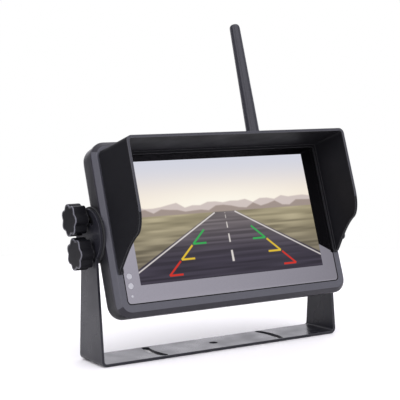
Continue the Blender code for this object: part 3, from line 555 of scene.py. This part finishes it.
def bezier(points, share):
    rest = 1 - share
    weights = (rest**3, 3 * rest**2 * share, 3 * rest * share**2, share**3)
    return tuple(MM * sum(weight * point[axis] for weight, point in zip(weights, points)) for axis in (0, 1))


def hood_foot():
    blade = [bezier(HOOD_BLADE, i / HOOD_STEPS) for i in range(HOOD_STEPS)]
    return blade + [bezier(HOOD_ELBOW, i / HOOD_STEPS) for i in range(HOOD_STEPS + 1)]


def hood_path(half, top, radius, foot):
    points = [(-half, foot), (-half, foot + 5 * MM)]
    for i in range(13):
        angle = math.radians(180 - 7.5 * i)
        points.append((-half + radius + radius * math.cos(angle), top - radius + radius * math.sin(angle)))
    points.append((0.0, top))
    return points + [(-x, z) for x, z in reversed(points[:-1])]


def build_hood():
    rings = []

    def add_ring(depth, foot, groove, wall):
        share = depth / HOOD_DEPTH
        half = (93.0 - 2.7 * share) * MM
        top = (54.4 - 0.7 * share) * MM
        ring = hood_path(half - groove, top - groove, 4.0 * MM - groove, foot)
        ring += list(reversed(hood_path(half - wall, top - wall, 2.0 * MM, foot)))
        rings.append([(x, FACE - depth, z) for x, z in ring])

    # a shadow groove outside and a narrow flange inside, where the hood sits on the bezel
    row = hood_foot()
    for depth, foot in row[:2]:
        add_ring(depth, foot, 0.7 * MM, 4.1 * MM)
    for depth, foot in row[1:]:
        add_ring(depth, foot, 0.0, 2.0 * MM)
    front = FACE - HOOD_DEPTH + 0.3 * MM
    # front-facing rim faces on the upper part of the hood take the lighter copy: painted highlight
    mesh = finished(
        loft("hood", rings),
        (LOOKS["hood_plastic"], HOOD_RIM_HIGHLIGHT),
        lambda face: face.normal.y < -0.3 and face.center.y < front and face.center.z > 0,
    )
    made = piece("hood_shell", mesh, "hood_plastic", "monitor", "sun_hood", matrix=MONITOR)
    bevel(made, 0.5 * MM, 40, 3)


# ---------------------------------------------------------------- clamps

KNOB_RADIUS = 11.4 * MM
KNOB_HEIGHT = 10.9 * MM
KNOB_STEPS = 140
LOBES = 7
WASHER_RADIUS = 6.8 * MM
RUBBER_RADIUS = 20 * MM


def knob_ring(scale, along, steps=KNOB_STEPS):
    ring = []
    for i in range(steps):
        angle = 2 * math.pi * i / steps
        wave = 0.5 + 0.5 * math.cos(LOBES * angle)
        radius = KNOB_RADIUS * scale * (1 - 0.17 * (1 - wave**0.75))
        ring.append((radius * math.cos(angle), radius * math.sin(angle), along))
    return ring


def knob_mesh():
    high = KNOB_HEIGHT
    rings = [
        circle_ring(STUD_HOLE, 7.6 * MM, KNOB_STEPS),
        circle_ring(STUD_HOLE, 0.0, KNOB_STEPS),
        circle_ring(7.4 * MM, 0.0, KNOB_STEPS),
        circle_ring(7.6 * MM, 0.8 * MM, KNOB_STEPS), knob_ring(0.96, 1.0 * MM), knob_ring(0.99, 1.2 * MM),
        knob_ring(1.0, 1.6 * MM), knob_ring(1.0, high - 0.7 * MM), knob_ring(0.992, high - 0.35 * MM),
        knob_ring(0.975, high - 0.1 * MM), knob_ring(0.95, high), knob_ring(0.9, high),
        knob_ring(0.885, high - 0.15 * MM), knob_ring(0.3, high - 0.15 * MM),
    ]
    # the sloped faces round the top rim take the lighter copy: painted highlight
    rim = KNOB_HEIGHT - 0.55 * MM
    return finished(
        loft("knob", rings, angle=40),
        (LOOKS["knob_plastic"], KNOB_RIM_HIGHLIGHT),
        lambda face: face.center.z > rim and 0.1 < face.normal.z < 0.97,
    )


def build_clamps():
    for side, side_name in ((-1, "left"), (1, "right")):
        profile = [
            (96.7 * MM, RUBBER_RADIUS - 0.2 * MM),
            (96.9 * MM, RUBBER_RADIUS),
            (97.6 * MM, RUBBER_RADIUS),
            (97.8 * MM, RUBBER_RADIUS - 0.2 * MM),
        ]
        ring = turned("washer_ring", profile, 96)
        holes = []
        for sign in (-1, 1):
            at = Matrix.Translation((sign * STUD_OFFSET, 0, 0))
            holes.append(moved(prism("hole", circle(STUD_HOLE), 90 * MM, 100 * MM), at))
        mesh = cut(ring, holes)
        at = MONITOR @ along_x(side)
        node = "friction_washer_" + side_name
        piece("rubber_washer_" + side_name, mesh, "washer_rubber", "monitor", node, matrix=at)
        for sign, level in ((1, "upper"), (-1, "lower")):
            tag = side_name + "_" + level
            seat = BRACKET_HALF + GAP
            at = MONITOR @ Matrix.Translation((side * seat, 0, sign * STUD_OFFSET)) @ along_x(side)
            rim = [(0, WASHER_RADIUS), (0.8 * MM, WASHER_RADIUS), (MM, WASHER_RADIUS - 0.2 * MM)]
            flat = turned("flat", rim, 48, [(0, STUD_HOLE), (MM, STUD_HOLE)])
            body, node = "washer_" + tag, "knob_washer_" + tag
            piece("steel_washer_" + tag, flat, "washer_zinc", body, node, matrix=at)
            seat += MM + GAP
            at = MONITOR @ Matrix.Translation((side * seat, 0, sign * STUD_OFFSET)) @ along_x(side)
            body, node = "knob_" + tag, "clamp_knob_" + tag
            piece("star_knob_" + tag, knob_mesh(), "knob_plastic", body, node, matrix=at)


# ---------------------------------------------------------------- antenna


def flute_ring(radius, z, depth=0.05, steps=96):
    ring = []
    for i in range(steps):
        angle = 2 * math.pi * i / steps
        reach = radius * (1 - depth * (0.5 - 0.5 * math.cos(12 * angle)))
        ring.append((reach * math.cos(angle), reach * math.sin(angle), z))
    return ring


def build_whip():
    foot, top, low, high = 8.7 * MM, 120.4 * MM, 5.45 * MM, 4.12 * MM
    rings = [
        circle_ring(1.9 * MM, top - 6 * MM, 96), circle_ring(1.9 * MM, 13.6 * MM, 96),
        circle_ring(3.3 * MM, 13.6 * MM, 96), circle_ring(3.3 * MM, foot, 96),
        circle_ring(low * 0.95, foot, 96),
        circle_ring(low * 0.98, foot + 0.4 * MM, 96), flute_ring(low, foot + 1.5 * MM),
        flute_ring(high, top - 2.8 * MM), flute_ring(high * 0.95, top - 1.7 * MM, 0.04),
        flute_ring(high * 0.84, top - 0.7 * MM, 0.03), circle_ring(high * 0.66, top - 0.1 * MM, 96),
        circle_ring(high * 0.5, top, 96),
    ]
    hinge = Matrix.Translation((JACK_SPOT[0], FACE + ELBOW_DEPTH, JACK_SPOT[1]))
    at = MONITOR @ hinge @ Matrix.Rotation(math.radians(1.3), 4, "Y")
    piece("whip_sleeve", loft("whip", rings), "antenna_rubber", "antenna_whip", "antenna_whip", matrix=at)


# ---------------------------------------------------------------- screen picture

WIDE, TALL = 448, 252
ACROSS, DOWN = np.meshgrid(np.linspace(0, 1, WIDE), np.linspace(0, 1, TALL))
SOFT = 1.2 / WIDE
RATIO = TALL / WIDE


def ramp(value, low, high):
    share = np.clip((value - low) / (high - low), 0, 1)
    return share * share * (3 - 2 * share)


def tint(r, g, b):
    return np.array((r, g, b)) / 255


def blend(first, second, share):
    return first + (second - first) * np.asarray(share)[..., None]


def chance(n):
    """Repeatable number between 0 and 1 for a counter."""
    return (math.sin(n * 12.9898 + 4.1) * 43758.5453) % 1.0


def streaks(across, down, rows, runs, seed):
    """Smooth noise, long in one direction."""
    grid = np.array([[chance(seed + 37.7 * r + 3.1 * c) for c in range(runs + 2)] for r in range(rows + 2)])
    y = np.clip(down, 0, 0.9999) * rows
    x = np.clip(across, 0, 0.9999) * runs
    r, c = y.astype(int), x.astype(int)
    fy, fx = ramp(y - r, 0, 1), ramp(x - c, 0, 1)
    top = grid[r, c] * (1 - fx) + grid[r, c + 1] * fx
    low = grid[r + 1, c] * (1 - fx) + grid[r + 1, c + 1] * fx
    return top * (1 - fy) + low * fy


def window(outline, soft):
    """The part of the canvas that an outline can touch."""
    xs, ys = [point[0] for point in outline], [point[1] for point in outline]
    left, right = (min(xs) - soft) * WIDE, (max(xs) + soft) * WIDE
    top, low = (min(ys) - soft / RATIO) * TALL, (max(ys) + soft / RATIO) * TALL
    rows = slice(max(0, int(top) - 1), max(0, int(low) + 2))
    return rows, slice(max(0, int(left) - 1), max(0, int(right) + 2))


def inside(outline, soft, part):
    """How far each point of a part of the picture lies inside an outline, with a soft edge."""
    x, y = ACROSS[part], DOWN[part] * RATIO
    near = np.full(x.shape, 9.0)
    odd = np.zeros(x.shape, bool)
    count = len(outline)
    for i in range(count):
        ax, ay = outline[i][0], outline[i][1] * RATIO
        bx, by = outline[(i + 1) % count][0], outline[(i + 1) % count][1] * RATIO
        run = max((bx - ax) ** 2 + (by - ay) ** 2, 1e-12)
        along = np.clip(((x - ax) * (bx - ax) + (y - ay) * (by - ay)) / run, 0, 1)
        near = np.minimum(near, np.hypot(x - ax - along * (bx - ax), y - ay - along * (by - ay)))
        if ay != by:
            odd ^= ((ay > y) != (by > y)) & (x < (bx - ax) * (y - ay) / (by - ay) + ax)
    return np.clip(0.5 + np.where(odd, near, -near) / soft, 0, 1)


class Picture:
    """A canvas of colours that shapes are laid on, one over the other."""

    def __init__(self):
        self.colour = np.zeros((TALL, WIDE, 3))

    def lay(self, mask, colour, part=(slice(None), slice(None))):
        colour = np.asarray(colour)
        if colour.ndim > 1:
            colour = colour[part]
        self.colour[part] += (colour - self.colour[part]) * mask[..., None]

    def shape(self, outline, colour, strength=1.0, soft=SOFT):
        part = window(outline, soft)
        self.lay(inside(outline, soft, part) * strength, colour, part)

    def line(self, start, end, width, colour, strength=1.0, soft=SOFT):
        run = np.array((end[0] - start[0], (end[1] - start[1]) * RATIO))
        side = np.array((-run[1], run[0])) / np.linalg.norm(run) * width / 2
        side[1] /= RATIO
        s, e = np.array(start), np.array(end)
        corners = [tuple(s + side), tuple(e + side), tuple(e - side), tuple(s - side)]
        self.shape(corners, colour, strength, soft)


def paint_view(picture):
    """An empty straight road under a plain sky, with low hills."""
    sky = blend(tint(204, 206, 218), tint(244, 226, 206), ramp(DOWN, 0.0, 0.45))
    glow = np.exp(-(((ACROSS - 0.5) / 0.5) ** 2) - ((DOWN - 0.42) / 0.16) ** 2)
    picture.colour[:] = blend(sky, tint(255, 248, 232), np.clip(glow, 0, 1))
    for number, (height, shade) in enumerate(((0.38, (200, 188, 184)), (0.42, (158, 146, 140)))):
        ridge = [(i / 24, height + 0.05 * (chance(31 * number + i) - 0.5)) for i in range(25)]
        outline = [(-0.1, 0.6), (-0.1, height)] + ridge + [(1.1, height), (1.1, 0.6)]
        picture.shape(outline, tint(*shade), 1.0, 0.006)
    verge = blend(tint(156, 148, 126), tint(112, 106, 96), ramp(DOWN, 0.46, 1.0))
    verge = verge * (0.85 + 0.3 * streaks(ACROSS, DOWN, 60, 8, 21.0))[..., None]
    picture.lay(ramp(DOWN, 0.455, 0.465), verge)
    asphalt = blend(tint(122, 116, 118), tint(74, 70, 80), ramp(DOWN, 0.46, 0.9))
    asphalt = asphalt * (0.86 + 0.26 * streaks(ACROSS, DOWN, 70, 5, 7.0))[..., None]
    picture.shape([(0.44, 0.46), (0.56, 0.46), (1.15, 1.02), (-0.15, 1.02)], asphalt, 1.0, 0.004)
    for side in (-1, 1):
        far, near = (0.5 + 0.055 * side, 0.465), (0.5 + 0.56 * side, 0.96)
        picture.line(far, near, 0.006, tint(232, 226, 222), 0.85)
    for i in range(5):
        far, near = 0.47 + 0.5 * (i / 5) ** 2, 0.47 + 0.5 * ((i + 0.55) / 5) ** 2
        wide = [0.001 + 0.012 * (y - 0.46) for y in (far, near)]
        dash = [(0.5 - wide[0], far), (0.5 + wide[0], far), (0.5 + wide[1], near), (0.5 - wide[1], near)]
        picture.shape(dash, tint(228, 222, 216), 0.9, 0.003)


def paint_guides(picture):
    """Parking guide lines in three bands, as a rear-view display lays over its picture."""
    bands = ((0.6, 0.71, (70, 170, 96)), (0.72, 0.83, (226, 190, 70)), (0.84, 0.95, (206, 66, 56)))
    for far, near, shade in bands:
        for side in (-1, 1):
            ends = [(0.5 + side * (0.13 + 0.62 * (y - 0.6)), y) for y in (far, near)]
            picture.line(ends[0], ends[1], 0.009, tint(*shade), 0.95)
            picture.line(ends[1], (ends[1][0] - 0.07 * side, near), 0.009, tint(*shade), 0.95)


def build_picture():
    """The lit picture: a fine sheet of coloured facets just in front of the panel's clear window."""
    picture = Picture()
    paint_view(picture)
    paint_guides(picture)
    shown = np.clip(picture.colour, 0, 1)
    shown = shown + 0.2 * (shown - 0.5) * shown * (1 - shown) * 4 - 0.05 * (1 - shown) ** 2
    shown = np.clip(shown, 0, 1)
    light = np.where(shown <= 0.04045, shown / 12.92, ((shown + 0.055) / 1.055) ** 2.4)
    x = (ACROSS - 0.5) * 2 * SCREEN_HALF[0]
    z = SCREEN_RISE + (0.5 - DOWN) * 2 * SCREEN_HALF[1]
    points = np.stack([x, np.full(x.shape, FACE - 0.02 * MM), z], -1).reshape(-1, 3)
    index = np.arange(WIDE * TALL).reshape(TALL, WIDE)
    quads = np.stack([index[1:, :-1], index[1:, 1:], index[:-1, 1:], index[:-1, :-1]], -1).reshape(-1, 4)
    mesh = bpy.data.meshes.new("picture")
    mesh.from_pydata(points.tolist(), [], quads.tolist())
    mesh.transform(MONITOR)
    colours = mesh.color_attributes.new("shown", "FLOAT_COLOR", "POINT")
    colours.data.foreach_set("color", np.concatenate([light, np.ones((TALL, WIDE, 1))], -1).ravel())
    made = bpy.data.objects.new("screen_picture", mesh)
    bpy.context.scene.collection.objects.link(made)
    mesh.materials.append(picture_look())
    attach(made, "monitor")


def picture_look():
    made = bpy.data.materials.new("look_picture")
    made.use_nodes = True
    nodes, links = made.node_tree.nodes, made.node_tree.links
    shader = nodes["Principled BSDF"]
    shown = nodes.new("ShaderNodeVertexColor")
    shown.layer_name = "shown"
    grain = nodes.new("ShaderNodeTexNoise")
    grain.inputs["Scale"].default_value = 2500.0
    level = nodes.new("ShaderNodeMapRange")
    level.inputs["To Min"].default_value = 0.97
    level.inputs["To Max"].default_value = 1.03
    links.new(grain.outputs["Fac"], level.inputs["Value"])
    lit = nodes.new("ShaderNodeVectorMath")
    lit.operation = "SCALE"
    links.new(shown.outputs["Color"], lit.inputs[0])
    links.new(level.outputs["Result"], lit.inputs["Scale"])
    links.new(lit.outputs["Vector"], shader.inputs["Emission Color"])
    shader.inputs["Emission Strength"].default_value = 0.97
    shader.inputs["Base Color"].default_value = (0.002, 0.002, 0.002, 1)
    shader.inputs["Roughness"].default_value = 0.3
    shader.inputs["Specular IOR Level"].default_value = 0.05
    return made


def soften_fittings():
    """Rounded edges on the small fittings that show at the back and on the clamps."""
    prefixes = (
        "antenna_base",
        "antenna_knuckle",
        "antenna_hinge",
        "antenna_jack",
        "power_inlet",
        "case_screw",
        "clamp_stud",
    )
    for name, node in frame["nodes"].items():
        if name.startswith(prefixes):
            weld = node.modifiers.new("weld", "WELD")
            weld.merge_threshold = 0.002 * MM
            bevel(node, 0.15 * MM, 40, 2)


soften_fittings()
build_bracket()
build_bezel()
build_rear()
build_panel()
build_hood()
build_clamps()
build_whip()
build_picture()

# ---------------------------------------------------------------- studio


def lobe(nodes, links, direction, first, last, strength):
    """A soft box on the sky: bright round one direction."""
    place = nodes.new("ShaderNodeTexCoord")
    facing = nodes.new("ShaderNodeVectorMath")
    facing.operation = "DOT_PRODUCT"
    facing.inputs[1].default_value = Vector(direction).normalized()
    links.new(place.outputs["Generated"], facing.inputs[0])
    level = nodes.new("ShaderNodeMapRange")
    level.interpolation_type = "SMOOTHSTEP"
    level.inputs["From Min"].default_value = first
    level.inputs["From Max"].default_value = last
    level.inputs["To Max"].default_value = strength
    links.new(facing.outputs["Value"], level.inputs["Value"])
    return level.outputs["Result"]


def studio_world():
    """White sweep for the eye; soft boxes in front, above and low behind for the light."""
    world = bpy.data.worlds.new("studio")
    bpy.context.scene.world = world
    world.use_nodes = True
    nodes, links = world.node_tree.nodes, world.node_tree.links
    total = None
    for direction, first, last, strength in (
        ((0.0, -0.95, 0.3), 0.1, 0.95, 1.25),
        ((-0.85, -0.5, 0.25), 0.7, 0.98, 1.0),
        ((0.52, 0.85, 0.02), 0.6, 0.95, 1.4),
        ((0.0, 0.0, 1.0), 0.3, 1.0, 0.8),
    ):
        glow = lobe(nodes, links, direction, first, last, strength)
        add = nodes.new("ShaderNodeMath")
        add.inputs[1].default_value = 0.2
        links.new(glow, add.inputs[0])
        if total:
            links.new(total, add.inputs[1])
        total = add.outputs["Value"]
    ray = nodes.new("ShaderNodeLightPath")
    seen = nodes.new("ShaderNodeMix")
    seen.inputs["B"].default_value = 1.0
    links.new(ray.outputs["Is Camera Ray"], seen.inputs["Factor"])
    links.new(total, seen.inputs["A"])
    back = nodes["Background"]
    cool = nodes.new("ShaderNodeMix")
    cool.data_type = "RGBA"
    cool.inputs["A"].default_value = (0.985, 0.97, 1.045, 1)
    cool.inputs["B"].default_value = (1, 1, 1, 1)
    links.new(ray.outputs["Is Camera Ray"], cool.inputs["Factor"])
    links.new(cool.outputs["Result"], back.inputs["Color"])
    links.new(seen.outputs["Result"], back.inputs["Strength"])


def lamp(name, tip, spread, strength):
    """Wide even light from above, which also keeps the floor white."""
    data = bpy.data.lights.new(name, "SUN")
    data.energy = strength
    data.angle = math.radians(spread)
    made = bpy.data.objects.new(name, data)
    bpy.context.scene.collection.objects.link(made)
    made.rotation_euler = (math.radians(tip[0]), math.radians(tip[1]), 0)


def build_studio():
    bpy.context.scene.view_settings.view_transform = "Standard"
    studio_world()
    mesh = bpy.data.meshes.new("floor")
    corners = [(x, y, 0) for x, y in circle(0.55, 96)]
    mesh.from_pydata(corners, [], [tuple(range(96))])
    floor = bpy.data.objects.new("floor", mesh)
    floor.location.z = -0.0002
    bpy.context.scene.collection.objects.link(floor)
    mesh.materials.append(surface("look_floor", rgb(253, 252, 251), 0.9, grain=60, bump=0.0, spread=0.004))
    lamp("overhead", (-8, -5), 110, 0.7)


def build_camera():
    data = bpy.data.cameras.new("camera")
    data.lens = 103.26
    data.sensor_width = 36.0
    camera = bpy.data.objects.new("camera", data)
    bpy.context.scene.collection.objects.link(camera)
    azimuth, elevation, roll = math.radians(-31.67), math.radians(4.94), math.radians(-0.92)
    level = math.cos(elevation)
    away = Vector((math.sin(azimuth) * level, -math.cos(azimuth) * level, math.sin(elevation)))
    camera.location = Vector((-0.0096, PIVOT.y, 0.1078)) + 0.8294 * away
    right = Vector((-away.y, away.x, 0)).normalized()
    up = away.cross(right)
    across = math.cos(roll) * right + math.sin(roll) * up
    above = math.cos(roll) * up - math.sin(roll) * right
    camera.rotation_euler = Matrix((across, above, away)).transposed().to_euler()
    bpy.context.scene.camera = camera


build_studio()
build_camera()
